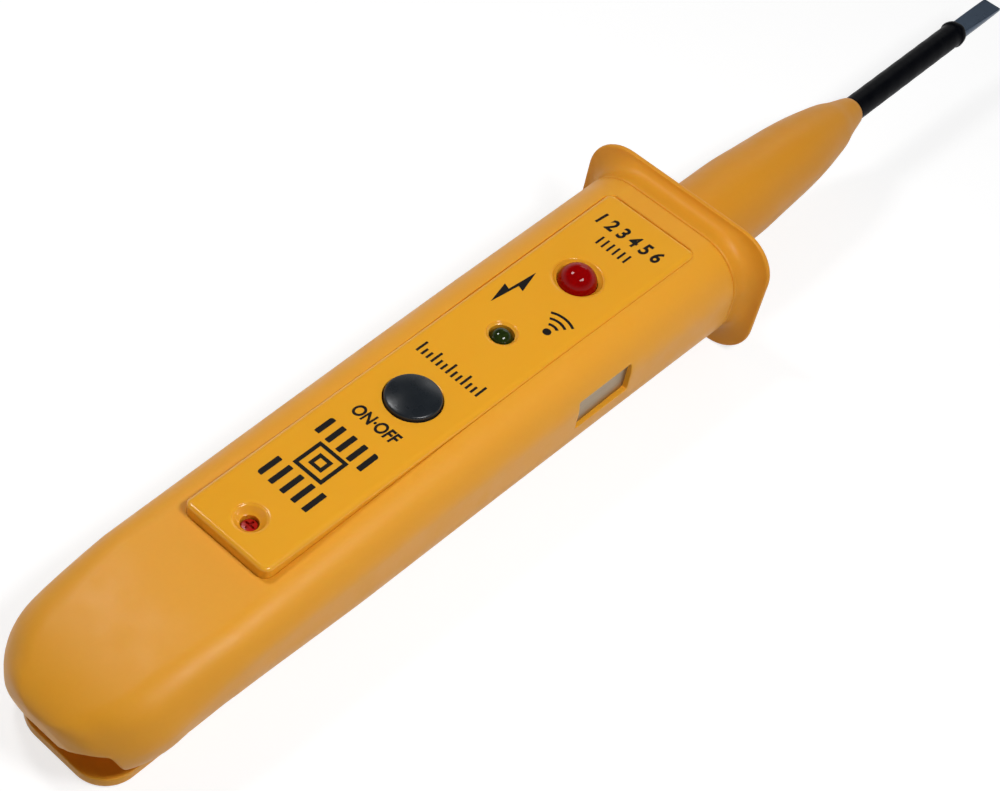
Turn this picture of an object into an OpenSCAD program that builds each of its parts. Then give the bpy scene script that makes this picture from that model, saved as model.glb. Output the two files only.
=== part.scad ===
// Voltage detector with a screwdriver blade: moulded handle, face plate, guard and nose,
// pry-off battery cover, push button, two lamps, circuit board, button cells and contacts.
// X runs from the butt to the blade tip, Z up out of the face, origin under the middle.

/* [Handle] */
// Length of the handle from the butt to the guard seam
handle_l = 103.5; // [101:0.1:112]
// Depth from the face to the flat underside
handle_h = 15.6; // [15.2:0.1:18]
// Width just behind the face plate
waist_w = 22; // [21.6:0.1:24]
// Width at the guard seam
seam_w = 25; // [24:0.1:27]
// Thickness of the moulded walls
wall = 1.4; // [1.2:0.05:1.5]
// Radius of the upper long edges at the waist
top_r = 3.5; // [3.2:0.1:5]
// Radius of the upper long edges at the guard seam
seam_r = 6.6; // [4:0.1:6.8]
// Radius of the lower long edges
low_r = 6.1; // [5:0.1:6.2]
// How far the back sinks below the face at the butt, before its dome
back_fall = 2.7; // [2:0.1:3.5]
// Distance from the butt at which the back has risen to the face
rise_l = 78; // [60:1:90]
// Length of the rounded butt seen from above
butt_l = 10.5; // [9:0.1:12]
// Length of the dome over the butt seen from the side
dome_l = 18.6; // [16:0.1:20]

/* [Face plate] */
// Distance from the butt to the rear edge of the face plate
plate_x = 25.6; // [25:0.1:26.5]
// Distance from the face plate's front edge to the guard seam
plate_margin = 3.3; // [2.9:0.1:3.7]
// Width of the face plate at its rear edge
plate_w = 12.7; // [12.5:0.1:13.4]
// Width of the face plate at its front edge
plate_front_w = 14.3; // [13.5:0.1:15]
// Thickness of the face plate
plate_t = 2.4; // [2.2:0.1:2.6]
// Radius of the plate's corners
plate_r = 0.9; // [0.6:0.1:2]

/* [Controls] */
// Distance from the plate's rear edge to the screw hole
screw_x = 3.9; // [3.6:0.1:4.4]
// Diameter of the screw's countersunk mouth
sink_d = 4.5; // [4:0.1:5]
// Place of the button, as a share of the plate's length
button_share = 0.3968; // [0.389:0.0001:0.405]
// Diameter of the button
button_d = 6.9; // [6.4:0.1:7.4]
// Travel of the button
button_travel = 0.6; // [0.4:0.05:0.8]
// Place of the green lamp, as a share of the plate's length
green_share = 0.6086; // [0.6:0.0001:0.617]
// Diameter of the green lamp
green_d = 3; // [2.8:0.1:3.2]
// Place of the red lamp, as a share of the plate's length
red_share = 0.8056; // [0.8:0.0001:0.812]
// Diameter of the red lamp
red_d = 5; // [4.8:0.1:5.2]
// Place of the touch window, as a share of the plate's length
window_share = 0.6984; // [0.68:0.0001:0.71]
// Length of the touch window in the side
window_l = 9.8; // [9:0.1:10.5]
// Height of the touch window
window_h = 4.4; // [3.6:0.1:4.6]

/* [Guard and nose] */
// Width of the guard's rim
guard_w = 29.8; // [28.6:0.1:34]
// Height of the rim above the face
guard_over = 1.5; // [1:0.1:2.5]
// Depth of the rim below the underside
guard_under = 2.8; // [1.5:0.1:3.5]
// Length of the flare from the seam to the rim
flare_l = 3; // [2:0.1:3.5]
// Thickness of the rim
rim_t = 0.8; // [0.6:0.1:1.6]
// Radius of the rim's corners
rim_r = 5.6; // [4.5:0.1:7]
// Length of the nose in front of the rim
nose_l = 43.8; // [43:0.1:50]
// Diameter of the nose where it leaves the guard
nose_d = 12.1; // [11.8:0.1:12.6]
// Depth of the blade's axis below the face
axis_d = 8.6; // [8.4:0.1:8.8]

/* [Blade] */
// Diameter of the blade's shank
blade_d = 3; // [2.6:0.1:3]
// Bare length of blade in front of the sleeve
bare_l = 10.8; // [9:0.1:14]
// Thickness of the flat tip
flat_t = 0.5; // [0.4:0.05:0.8]
// Outer diameter of the insulating sleeve
sleeve_d = 3.7; // [3.6:0.05:3.8]
// Length of sleeve in front of the nose
sleeve_l = 27.4; // [22:0.1:32]

/* [Battery] */
// Diameter of a button cell
cell_d = 11.6; // [11.4:0.1:11.6]
// Height of a button cell
cell_h = 5.4; // [5.2:0.1:5.4]
// Spare length of the battery bay in front of the cells
bay_play = 3.4; // [2.9:0.1:3.9]
// Width of the battery cover
cover_w = 17.4; // [17.2:0.1:17.6]
// Thickness of the battery cover
cover_t = 1.5; // [1.3:0.05:1.6]

/* [Hidden] */
$fn = 48;

// Overrun of every cut past the face that it opens
over = 0.5;
// Running gap round moving pieces and drop-in pieces
gap = 0.1;
// Fit of a screw or pin in its hole, on the radius
fit = 0.02;
// Steps round each corner of a lofted section
corner_steps = 6;

// Levels above the floor and places along the handle
under_z = guard_under;
face_z = under_z + handle_h;
axis_z = face_z - axis_d;
part_z = under_z + cover_t;
guard_x = handle_l + flare_l;
nose_x = guard_x + rim_t;
nose_end = nose_x + nose_l;
sleeve_end = nose_end + sleeve_l;
overall_l = sleeve_end + bare_l;

// Length of the face plate, and the places of its features from its rear edge
plate_l = handle_l - plate_x - plate_margin;
button_x = plate_l * button_share;
green_x = plate_l * green_share;
red_x = plate_l * red_share;

// Rounding of the butt: powers of its outlines and growth of the edge radii
plan_power = 2.3;
dome_power = 2;
tuck_power = 1.2;
tuck_l = 3;
butt_rise = 7.9;
butt_z = under_z + butt_rise;
dome_grow = 2.9;
fall_power = 1.5;
side_grow = -0.7;
tuck_grow = 2.1;
tight = 0.98;
tip_gap = 0.02;

// Depths of the levels under the face
lip_drop = 0.12;
ledge_t = 1.3;
roof_d = plate_t + ledge_t;
cavity_top = face_z - roof_d;
floor_z = under_z + wall;

// The battery bay, its cells and its contact strips, and the cover's length over them
bay_x = 4.9;
bay_side = 0.8;
bay_w = cell_d + 2 * bay_side;
bay_r = 5;
bay_roof = 1.2;
cell_gap = 0.6;
bulkhead_x = bay_x + 2 * cell_d + 3 * cell_gap + bay_play;
cover_l = bulkhead_x + wall;
contact_t = 0.3;
contact_lift = 0.25;
cell_z = part_z + contact_t + contact_lift;
bay_top = cell_z + cell_h + contact_lift + contact_t;
cell_xs = [bay_x + cell_gap + cell_d / 2, bay_x + 2 * cell_gap + cell_d * 3 / 2];
strip_y = 2.2;
strip_w = 2.4;
strip_pad = 1;

// The circuit board, hung under the face plate on two posts
board_back = 4.5;
board_margin = 1.4;
board_x = bulkhead_x + board_back;
board_end = plate_x + plate_l - board_margin;
board_l = board_end - board_x;
board_w = 11.4;
board_t = 1;
board_play = 0.8;
board_z = bay_top - contact_t;
board_under = board_z - board_t;
post_r = 1.8;
post_in = 4.3;
post_xs = [board_x + post_in, board_end - post_in];
thread_r = 0.8;
head_r = 1.6;
head_t = 1.1;
board_screw_l = 5;

// The main cavity and the mouth that the board drops through
cavity_x = board_x - board_play;
cavity_w = waist_w - 2 * wall;
cavity_r = 3.2;
mouth_w = board_w + 4 * gap;
mouth_margin = 1;

// Tongue, slanted front edge and snap tab of the battery cover
tongue_w = 8;
tongue_t = 1;
tongue_back = 4;
tongue_end = cover_l + 1.6;
tongue_room = 1.8;
cover_gap = 0.3;
cover_slant = 22;
cover_land = 0.3;
cover_r = 4.2;
cover_back = 1.55;
snap_x = 3;
snap_l = 0.8;
snap_w = 4;
snap_h = 1;

// Screw of the face plate
boss_r = 2.7;
sink_t = 1;
screw_head_r = 1;
screw_head_t = 0.7;
screw_head_d = 1.3;
screw_d = screw_head_d + screw_head_t;
screw_shank_r = 0.7;
screw_l = 4.6;
bore_r = screw_head_r + gap;
recess_w = 0.3;
recess_t = 0.35;

// Finger notch at the rear corner of the battery cover, rising from its left end
notch_x = 4.7;
notch_y = -7.3;
notch_turn = 118.5;
notch_l = 6.9;
notch_h = 2.2;
notch_deep = 1.6;
notch_shares = [[0, 1], [0.3, 0.95], [0.6, 0.65], [0.85, 0.25], [1, 0]];

// Seats of the lamps
dish_t = 0.7;
red_dish_d = red_d + 1.8;
red_dome = 1.6;
red_body = 8.6;
red_flange_d = red_d + 0.8;
green_dome = 0.3;
green_body = 5.3;
green_flange_d = green_d + 0.4;
green_dish_d = green_d + 0.8;
green_dish_t = 0.3;
flange_t = 1;
lead_w = 0.5;
lead_pitch = 2.54;

// Button and switch
button_flange = 0.7;
flange_h = 0.8;
flange_play = 0.05;
cap_edge = 0.5;
cap_crown = 0.5;
switch_l = 6;
switch_h = 3.1;
plunger_r = 1.7;
plunger_in = 0.6;
foot_l = 1.4;
foot_w = 0.7;
foot_t = 0.25;

// Spigot of the nose piece in the front of the handle
spigot_l = 5.6;
spigot_t = 1.2;
spigot_fit = 0.05;

// Fillet at the nose's root, and the nose's outline in shares of its length and radius
root_t = 1.15;
root_l = 3.1;
nose_shares = [[0.343, 0.988], [0.434, 0.947], [0.525, 0.907], [0.616, 0.864], [0.708, 0.797],
    [0.799, 0.696], [0.868, 0.602], [0.913, 0.499], [0.959, 0.418], [0.991, 0.365], [1, 0.345]];

// Bores and pieces inside the nose, and the foot of the front contact on the board
clip_l = 1.9;
sleeve_seat = 6;
blade_back = nose_x + 14.4;
chamber_r = 2.7;
retainer_r = 2.2;
retainer_t = 0.5;
resistor_r = 1.6;
resistor_l = 11;
cap_t = 1.4;
spring_r = 1.3;
spring_wire = 0.4;
spring_turns = 7;
blade_stub = 1.6;
grind_l = 20.5;
roll_l = 1.2;
roll_t = 0.25;

// Touch plate behind the side window
window_x = plate_x + plate_l * window_share;
window_d = 6.3;
touch_l = 12.5;
touch_h = 5.2;
touch_t = 0.4;
touch_wall = 0.8;
touch_y = half_w(window_x) - touch_wall;
tail_w = 3;
tail_foot = 1.5;

// Small parts under the circuit board, and the transistor on it between the lamps
can_share = 0.24;
chip_share = 0.5;
coil_share = 0.76;
chip_x = board_x + board_l * chip_share;
chip_l = 9.2;
chip_w = 6.2;
chip_h = 3.2;
chip_lift = 0.4;
chip_legs = 4;
can_y = -2.1;
can_r = 2;
can_l = 7;
can_x = board_x + board_l * can_share - can_l / 2;
small_lead_r = 0.25;
coil_x = board_x + board_l * coil_share;
coil_r = 1;
coil_l = 6.2;
coil_span = 8.2;
coil_pitch = 2.6;
diode_r = 0.9;
diode_l = 4;
diode_span = 6;
diode_ys = [4.4, 1.9];
tran_x = plate_x + (green_x + red_x) / 2;
tran_r = 2.3;
tran_flat = 1.3;
tran_h = 4.2;
tran_lift = 0.8;
tran_pitch = 1.27;

// Rounding of the butt: a superellipse quarter from 0 at the end to 1 at length l
function swell(x, l, power) = pow(1 - pow(1 - min(1, max(x, 0) / l), power), 1 / power);
// Half the width, the top and the underside of the handle at a distance from the butt
function half_w(x) =
    (waist_w + (seam_w - waist_w) * pow(x / handle_l, 1.5)) / 2 * swell(x, butt_l, plan_power);
function ease(x) = max(0, 1 - x / dome_l);
function back_z(x) =
    let(full = face_z - lip_drop - back_fall * pow(max(0, 1 - x / rise_l), fall_power))
    butt_z + (full - butt_z) * swell(x, dome_l, dome_power);
function low_z(x) = butt_z - (butt_z - under_z) * swell(x, tuck_l, tuck_power);

// A rounded section across the handle: half width, top, bottom, upper radius, lower radii
function arc(y, z, a, b, from) =
    [for (i = [0:corner_steps]) let(t = from + 90 * i / corner_steps) [y + a * cos(t), z + b * sin(t)]];
function section(x, hw, zt, zb, rt, ry, rz) = [for (p = concat(
    arc(hw - rt, zt - rt, rt, rt, 0), arc(-hw + rt, zt - rt, rt, rt, 90),
    arc(-hw + ry, zb + rz, ry, rz, 180), arc(hw - ry, zb + rz, ry, rz, 270))) [x, p[0], p[1]]];
function handle_section(x) = let(hw = half_w(x), zt = back_z(x), zb = low_z(x),
    rt = top_r + (seam_r - top_r) * x / handle_l + dome_grow * ease(x), rz = low_r + tuck_grow * ease(x),
    k = min(1, tight * (zt - zb) / (rt + rz)))
    section(x, hw, zt, zb, min(rt * k, hw * tight), min(low_r + side_grow * ease(x), hw * tight), rz * k);
function guard_section(x, t) = section(x, seam_w / 2 + (guard_w - seam_w) / 2 * t,
    face_z - lip_drop + (guard_over + lip_drop) * t, under_z - guard_under * t,
    seam_r + (rim_r - seam_r) * t, low_r + (rim_r - low_r) * t, low_r + (rim_r - low_r) * t);

// Skin through a list of sections of equal length
module loft(rings) {
    n = len(rings[0]);
    m = len(rings);
    polyhedron(points = [for (r = rings) for (p = r) p], faces = concat(
        [[for (i = [0:n - 1]) i]],
        [[for (i = [n - 1:-1:0]) (m - 1) * n + i]],
        [for (j = [0:m - 2], i = [0:n - 1]) let(a = j * n, k = (i + 1) % n) [a + i, a + n + i, a + n + k]],
        [for (j = [0:m - 2], i = [0:n - 1]) let(a = j * n, k = (i + 1) % n) [a + i, a + n + k, a + k]]));
}

// A rectangle with round corners, its lower left corner at the origin
module round_box(a, b, r) {
    translate([r, 0]) square([a - 2 * r, b]);
    translate([0, r]) square([a, b - 2 * r]);
    for (x = [r, a - r], y = [r, b - r]) translate([x, y]) circle(r);
}
// Outline of the face plate with round corners, grown on all sides
function plate_outline(grow) = let(r = plate_r, x0 = plate_x - grow, x1 = plate_x + plate_l + grow,
    w0 = plate_w / 2 + grow, w1 = plate_front_w / 2 + grow) concat(
    arc(x1 - r, w1 - r, r, r, 0), arc(x0 + r, w0 - r, r, r, 90),
    arc(x0 + r, r - w0, r, r, 180), arc(x1 - r, r - w1, r, r, 270));
// A flat slab from x0 to x1, centred across the handle, between two levels
module slab(x0, x1, w, z0, z1, r) {
    translate([x0, -w / 2, z0]) linear_extrude(z1 - z0) round_box(x1 - x0, w, r);
}
// A straight bar along the handle with rounded long edges
module bar(x0, x1, w, z0, z1, r) {
    translate([x0, -w / 2, z0]) rotate([90, 0, 90]) linear_extrude(x1 - x0) round_box(w, z1 - z0, r);
}
// A plain block between two corners
module block(low, high) {
    translate(low) cube(high - low);
}
// A round rod along the handle, and a round post standing on a level
module rod(x0, x1, r, y = 0, z = axis_z) {
    translate([x0, y, z]) rotate([0, 90, 0]) cylinder(h = x1 - x0, r = r);
}
module post(x, y, z0, z1, r) {
    translate([x, y, z0]) cylinder(h = z1 - z0, r = r);
}
// Puts the middle of the whole length over the origin
module placed() {
    translate([-overall_l / 2, 0, 0]) children();
}

// Moulded handle, open at the front and under the battery bay
module handle_shell() {
    dome_steps = 12;
    body_steps = 9;
    stations = concat([for (i = [0:dome_steps]) max(tip_gap, dome_l * (1 - cos(90 * i / dome_steps)))],
        [for (i = [1:body_steps]) dome_l + (handle_l - dome_l) * i / body_steps]);
    color("orange") placed() difference() {
        loft([for (x = stations) handle_section(x)]);
        // underside over the battery cover
        block([-over, -waist_w, under_z - over], [cover_l + cover_gap, waist_w, part_z]);
        // seat of the face plate, and the mouth that the board drops through
        translate([0, 0, face_z - plate_t]) linear_extrude(plate_t + over) polygon(plate_outline(gap));
        slab(cavity_x, plate_x + plate_l - mouth_margin, mouth_w, cavity_top - over, face_z, plate_r);
        // main cavity, and the shallow one over the battery bay
        bar(cavity_x, handle_l + over, cavity_w, floor_z, cavity_top, cavity_r);
        difference() {
            slab(dome_l + wall, cavity_x + over, cavity_w - 2 * wall, bay_top + bay_roof, cavity_top, wall);
            post(plate_x + screw_x, 0, bay_top, cavity_top + over, boss_r);
        }
        // battery bay and the slots that its contacts pass
        slab(bay_x, bulkhead_x, bay_w, part_z - over, bay_top, bay_r);
        for (side = [-1, 1])
            block([bulkhead_x - over, side * strip_y - strip_w / 2 - gap, bay_top - 2 * contact_t],
                [cavity_x + over, side * strip_y + strip_w / 2 + gap, bay_top]);
        // room for the cover's tongue
        block([bulkhead_x - wall, -tongue_w / 2 - 2 * gap, part_z - gap / 2],
            [cavity_x + over, tongue_w / 2 + 2 * gap, part_z + tongue_room]);
        block([snap_x - gap, -snap_w / 2 - gap, part_z - over],
            [snap_x + snap_l + gap, snap_w / 2 + gap, part_z + snap_h + gap]);
        // finger notch at the butt
        translate([notch_x, notch_y, part_z]) rotate([90, 0, notch_turn]) translate([0, 0, -notch_l])
            linear_extrude(notch_l + notch_deep) polygon(concat([[notch_l, -over], [0, -over]],
                [for (p = notch_shares) [notch_l * p[0], notch_h * p[1]]]));
        // thread of the plate's screw
        post(plate_x + screw_x, 0, face_z - screw_d - screw_l, face_z, screw_shank_r + fit);
        // side window and the pocket of the touch plate
        block([window_x - window_l / 2, -seam_w, face_z - window_d - window_h / 2],
            [window_x + window_l / 2, -cavity_w / 2 + wall, face_z - window_d + window_h / 2]);
        block([window_x - touch_l / 2 - gap, -touch_y, face_z - window_d - touch_h / 2 - gap],
            [window_x + touch_l / 2 + gap, -cavity_w / 2 + over, face_z - window_d + touch_h / 2 + gap]);
    }
}

// Screwed-on face plate with its holes, dishes and board posts
module face_plate() {
    color("gold") placed() difference() {
        union() {
            translate([0, 0, face_z - plate_t]) linear_extrude(plate_t) polygon(plate_outline(0));
            for (x = post_xs) post(x, 0, board_z, face_z - plate_t / 2, post_r);
        }
        // countersunk screw hole
        translate([plate_x + screw_x, 0, face_z - sink_t])
            cylinder(h = sink_t + gap, r1 = bore_r, r2 = sink_d / 2 + gap);
        post(plate_x + screw_x, 0, face_z - screw_d, face_z, bore_r);
        post(plate_x + screw_x, 0, face_z - plate_t - over, face_z, screw_shank_r + gap);
        // button and lamp holes with their dishes
        post(plate_x + button_x, 0, face_z - plate_t - over, face_z + over, button_d / 2 + gap);
        post(plate_x + green_x, 0, face_z - plate_t - over, face_z + over, green_d / 2 + gap);
        translate([plate_x + green_x, 0, face_z - green_dish_t])
            cylinder(h = green_dish_t + gap, r1 = green_d / 2 + gap, r2 = green_dish_d / 2 + gap);
        post(plate_x + red_x, 0, face_z - plate_t - over, face_z + over, red_d / 2 + gap);
        translate([plate_x + red_x, 0, face_z - dish_t])
            cylinder(h = dish_t + gap, r1 = red_d / 2 + 2 * gap, r2 = red_dish_d / 2 + gap);
        // pilot holes of the board screws
        for (x = post_xs) post(x, 0, board_z - over, board_z + board_screw_l - board_t, thread_r + fit);
    }
}

// Guard and nose in one moulding, with its spigot and bores
module guard_nose() {
    flare_steps = 6;
    flare_power = 1.4;
    edge = rim_t / 4;
    edge_share = 0.95;
    flares = [for (i = [0:flare_steps - 1]) let(a = 90 * i / flare_steps)
        guard_section(handle_l + flare_l * sin(a), pow(1 - cos(a), flare_power) * edge_share)];
    rims = [guard_section(guard_x + edge / 2, edge_share), guard_section(guard_x + 2 * edge, 1),
        guard_section(nose_x - edge, 1), guard_section(nose_x, edge_share)];
    profile = concat([[0, -edge]],
        [for (a = [0:15:90]) [nose_d / 2 + root_t * (1 - sin(a)), root_l * (1 - cos(a))]],
        [for (p = nose_shares) [nose_d / 2 * p[1], nose_l * p[0]]], [[0, nose_l]]);
    color("darkorange") placed() difference() {
        union() {
            loft(concat(flares, rims));
            translate([nose_x, 0, axis_z]) rotate([0, 90, 0]) rotate_extrude() polygon(profile);
            difference() {
                bar(handle_l - spigot_l, guard_x, cavity_w - 2 * spigot_fit, floor_z + spigot_fit,
                    cavity_top - spigot_fit, cavity_r);
                bar(handle_l - spigot_l - over, handle_l, cavity_w - 2 * spigot_t, floor_z + spigot_t,
                    cavity_top - spigot_t, cavity_r - spigot_t);
            }
        }
        rod(blade_back, nose_end + over, blade_d / 2 + fit);
        rod(nose_end - sleeve_seat, nose_end + over, sleeve_d / 2 + fit);
        rod(handle_l - over, blade_back, chamber_r);
    }
}

// Pry-off battery cover with its tongue and snap tab
module battery_cover() {
    color("goldenrod") placed() union() {
        difference() {
            slab(cover_back, cover_l, cover_w, under_z, part_z, cover_r);
            translate([cover_l, -cover_w, part_z - cover_land]) rotate([0, cover_slant, 0])
                translate([0, 0, -2 * cover_t]) cube([cover_t, 2 * cover_w, 3 * cover_t]);
        }
        slab(cover_l - tongue_back, tongue_end, tongue_w, part_z, part_z + tongue_t, tongue_t / 2);
        block([snap_x, -snap_w / 2, part_z - over], [snap_x + snap_l, snap_w / 2, part_z + snap_h]);
    }
}

// Steel blade: round shank ground to a flat tip on two sides
module blade() {
    grind_x = overall_l - grind_l;
    color("slategray") placed() {
        rod(blade_back - blade_stub, grind_x, blade_d / 2);
        intersection() {
            rod(grind_x, overall_l, blade_d / 2);
            translate([0, blade_d / 2 + over, 0]) rotate([90, 0, 0])
                linear_extrude(blade_d + 2 * over) polygon([
                    [grind_x, axis_z - blade_d / 2 - fit], [overall_l, axis_z - flat_t / 2],
                    [overall_l, axis_z + flat_t / 2], [grind_x, axis_z + blade_d / 2 + fit]]);
        }
    }
}

// Insulating sleeve on the blade, rolled at its front end
module blade_sleeve() {
    color("black") placed() difference() {
        union() {
            rod(nose_end - sleeve_seat, sleeve_end, sleeve_d / 2);
            rod(sleeve_end - roll_l, sleeve_end, sleeve_d / 2 + roll_t);
        }
        rod(nose_end - sleeve_seat - over, sleeve_end + over, blade_d / 2 + fit);
    }
}

// Push-on washer that holds the blade in the nose
module blade_retainer() {
    color("silver") placed() difference() {
        rod(blade_back - retainer_t, blade_back, retainer_r);
        rod(blade_back - retainer_t - over, blade_back + over, blade_d / 2 + fit);
    }
}

// Small screw at the bottom of the plate's hole
module housing_screw() {
    x = plate_x + screw_x;
    color("dimgray") placed() difference() {
        union() {
            post(x, 0, face_z - screw_d, face_z - screw_head_d, screw_head_r);
            post(x, 0, face_z - screw_d - screw_l, face_z - screw_head_d, screw_shank_r);
        }
        for (turn = [0, 90]) translate([x, 0, face_z - screw_head_d]) rotate([0, 0, turn])
            cube([screw_head_r * 4 / 3, recess_w, 2 * recess_t], center = true);
    }
}

// Domed button cap with a flange under the plate
module button_cap() {
    r = button_d / 2;
    flange_z = face_z - plate_t - flange_play;
    ball_r = (r * r + cap_crown * cap_crown) / (2 * cap_crown);
    color("darkslategray") placed() union() {
        post(plate_x + button_x, 0, flange_z - flange_h, flange_z, r + button_flange);
        intersection() {
            post(plate_x + button_x, 0, flange_z - flange_h / 2, face_z + cap_edge + cap_crown, r);
            translate([plate_x + button_x, 0, face_z + cap_edge + cap_crown - ball_r])
                rotate([90, 0, 0]) sphere(ball_r);
        }
    }
}

// Switch with a plunger that the cap rests on
module switch_plunger() {
    color("white") placed() post(plate_x + button_x, 0, board_z + switch_h - plunger_in,
        face_z - plate_t - flange_play - flange_h, plunger_r);
}
module switch_body() {
    x = plate_x + button_x - switch_l / 2;
    color("dimgray") placed() difference() {
        block([x, -switch_l / 2, board_z], [x + switch_l, switch_l / 2, board_z + switch_h]);
        post(plate_x + button_x, 0, board_z + switch_h - plunger_in - button_travel - gap,
            board_z + switch_h + over, plunger_r + gap);
    }
}
module switch_pins() {
    color("silver") placed() for (side = [-1, 1], end = [-1, 1])
        translate([plate_x + button_x + end * switch_l / 3, 0, board_z])
            gull_foot(side, switch_l / 2, foot_w);
}
// A flat leg down the side of a part and out along the board
module gull_foot(side, y, w) {
    scale([1, side, 1]) {
        translate([-w / 2, y, 0]) cube([w, foot_l, foot_t]);
        translate([-w / 2, y, 0]) cube([w, foot_t, foot_l]);
    }
}

// Round lamp with a domed top and a flange at its foot, and its two leads
module lamp(x, d, flange_d, top, h) {
    post(x, 0, top - h, top - d / 2, d / 2);
    post(x, 0, top - h, top - h + flange_t, flange_d / 2);
    translate([x, 0, top - d / 2]) intersection() {
        sphere(d / 2);
        cylinder(h = d, r = d);
    }
}
module lamp_leads(x, z) {
    for (side = [-1, 1]) block([x + side * lead_pitch / 2 - lead_w / 2, -lead_w / 2, board_z],
        [x + side * lead_pitch / 2 + lead_w / 2, lead_w / 2, z]);
}
module red_led() {
    color("red") placed() lamp(plate_x + red_x, red_d, red_flange_d, face_z + red_dome, red_body);
}
module red_led_leads() {
    color("silver") placed() lamp_leads(plate_x + red_x, face_z + red_dome - red_body);
}
module green_led() {
    color("green") placed()
        lamp(plate_x + green_x, green_d, green_flange_d, face_z + green_dome, green_body);
}
module green_led_leads() {
    color("silver") placed() lamp_leads(plate_x + green_x, face_z + green_dome - green_body);
}

// Circuit board with two screw holes, and the screws under it
module circuit_board() {
    color("darkgreen") placed() difference() {
        slab(board_x, board_end, board_w, board_z - board_t, board_z, 1);
        for (x = post_xs) post(x, 0, board_z - board_t - over, board_z + over, thread_r + gap);
    }
}
module board_screws() {
    color("silver") placed() for (x = post_xs) {
        post(x, 0, board_z - board_t - head_t, board_z - board_t, head_r);
        post(x, 0, board_z - board_t - head_t / 2, board_z - board_t + board_screw_l, thread_r);
    }
}

// Turns children that stand on level 0 over, so that they hang under the board
module under_board() {
    translate([0, 0, board_under]) rotate([180, 0, 0]) children();
}

// Chip and its legs
module detector_ic() {
    color("black") placed() under_board()
        block([chip_x - chip_l / 2, -chip_w / 2, chip_lift],
            [chip_x + chip_l / 2, chip_w / 2, chip_lift + chip_h]);
}
module ic_legs() {
    pitch = chip_l / chip_legs;
    color("silver") placed() under_board() for (side = [-1, 1], i = [0:chip_legs - 1])
        translate([chip_x - chip_l / 2 + pitch * (i + 1 / 2), 0, 0]) gull_foot(side, chip_w / 2, foot_w);
}

// A lying round part with both leads bent to the board
module axial_part(x, y, r, l, span) {
    rod(x - l / 2, x + l / 2, r, y, r);
    rod(x - span / 2 - small_lead_r, x + span / 2 + small_lead_r, small_lead_r, y, r);
    for (side = [-1, 1]) post(x + side * span / 2, y, 0, r, small_lead_r);
}
module capacitor() {
    color("navy") placed() under_board() rod(can_x, can_x + can_l, can_r, can_y, can_r);
}
module resistors() {
    color("tan") placed() under_board()
        for (i = [-1:1]) axial_part(coil_x, i * coil_pitch, coil_r, coil_l, coil_span);
}
module diodes() {
    color("firebrick") placed() under_board()
        for (y = diode_ys) axial_part(can_x + can_l / 2, y, diode_r, diode_l, diode_span);
}
module transistor() {
    color("black") placed() intersection() {
        post(tran_x, 0, board_z + tran_lift, board_z + tran_lift + tran_h, tran_r);
        block([tran_x - tran_flat, -tran_r, board_z],
            [tran_x + tran_r, tran_r, board_z + tran_lift + tran_h]);
    }
}
module transistor_legs() {
    color("silver") placed()
        for (i = [-1:1]) post(tran_x, i * tran_pitch, board_z, board_z + tran_lift, small_lead_r);
}

// Metal plate behind the side window, with a tail on the board
module touch_plate() {
    z = face_z - window_d;
    color("lightgray") placed() {
        block([window_x - touch_l / 2, -touch_y, z - touch_h / 2],
            [window_x + touch_l / 2, -touch_y + touch_t, z + touch_h / 2]);
        block([window_x - tail_w / 2, -touch_y, board_z],
            [window_x + tail_w / 2, -board_w / 2 + tail_foot, board_z + touch_t]);
    }
}

// Series resistor behind the blade, its spring, and the contact on the board's front end
module safety_resistor() {
    x = blade_back - blade_stub;
    color("tan") placed() union() {
        rod(x - resistor_l, x, resistor_r - gap);
        rod(x - resistor_l, x - resistor_l + cap_t, resistor_r);
        rod(x - cap_t, x, resistor_r);
    }
}
module contact_spring() {
    sides = 6;
    turn_steps = 12;
    steps = spring_turns * turn_steps;
    low_x = board_end + contact_t + spring_wire / 2;
    high_x = blade_back - blade_stub - resistor_l - spring_wire / 2;
    rings = [for (i = [0:steps]) let(a = 360 * i / turn_steps, x = low_x + (high_x - low_x) * i / steps)
        [for (k = [0:sides - 1]) let(b = -360 * k / sides, r = spring_r + spring_wire / 2 * cos(b))
            [x + spring_wire / 2 * sin(b), r * cos(a), axis_z + r * sin(a)]]];
    color("silver") placed() loft(rings);
}
module front_contact() {
    color("lightgray") placed() union() {
        block([board_end, -strip_y, axis_z - strip_y],
            [board_end + contact_t, strip_y, board_z + contact_t]);
        block([board_end - clip_l, -strip_y, board_z],
            [board_end + contact_t, strip_y, board_z + contact_t]);
    }
}

// Two button cells, the strips over them and the bridge under them
module button_cells() {
    rim = 0.6;
    color("silver") placed() for (x = cell_xs) {
        post(x, 0, cell_z, cell_z + cell_h - rim, cell_d / 2);
        post(x, 0, cell_z, cell_z + cell_h, cell_d / 2 - 2 * rim);
    }
}
module battery_contacts() {
    color("lightgray") placed() for (i = [0, 1]) let(y = strip_y * (2 * i - 1)) {
        block([cell_xs[i] - strip_w / 2, y - strip_w / 2, board_z],
            [board_x + strip_w, y + strip_w / 2, bay_top]);
        post(cell_xs[i], y, cell_z + cell_h, board_z, strip_pad);
    }
}
module cover_bridge() {
    color("lightgray") placed() {
        block([cell_xs[0] - strip_w, -strip_w, part_z],
            [cell_xs[1] + strip_w, strip_w, part_z + contact_t]);
        for (x = cell_xs) post(x, 0, part_z, cell_z, strip_pad);
    }
}

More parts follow.
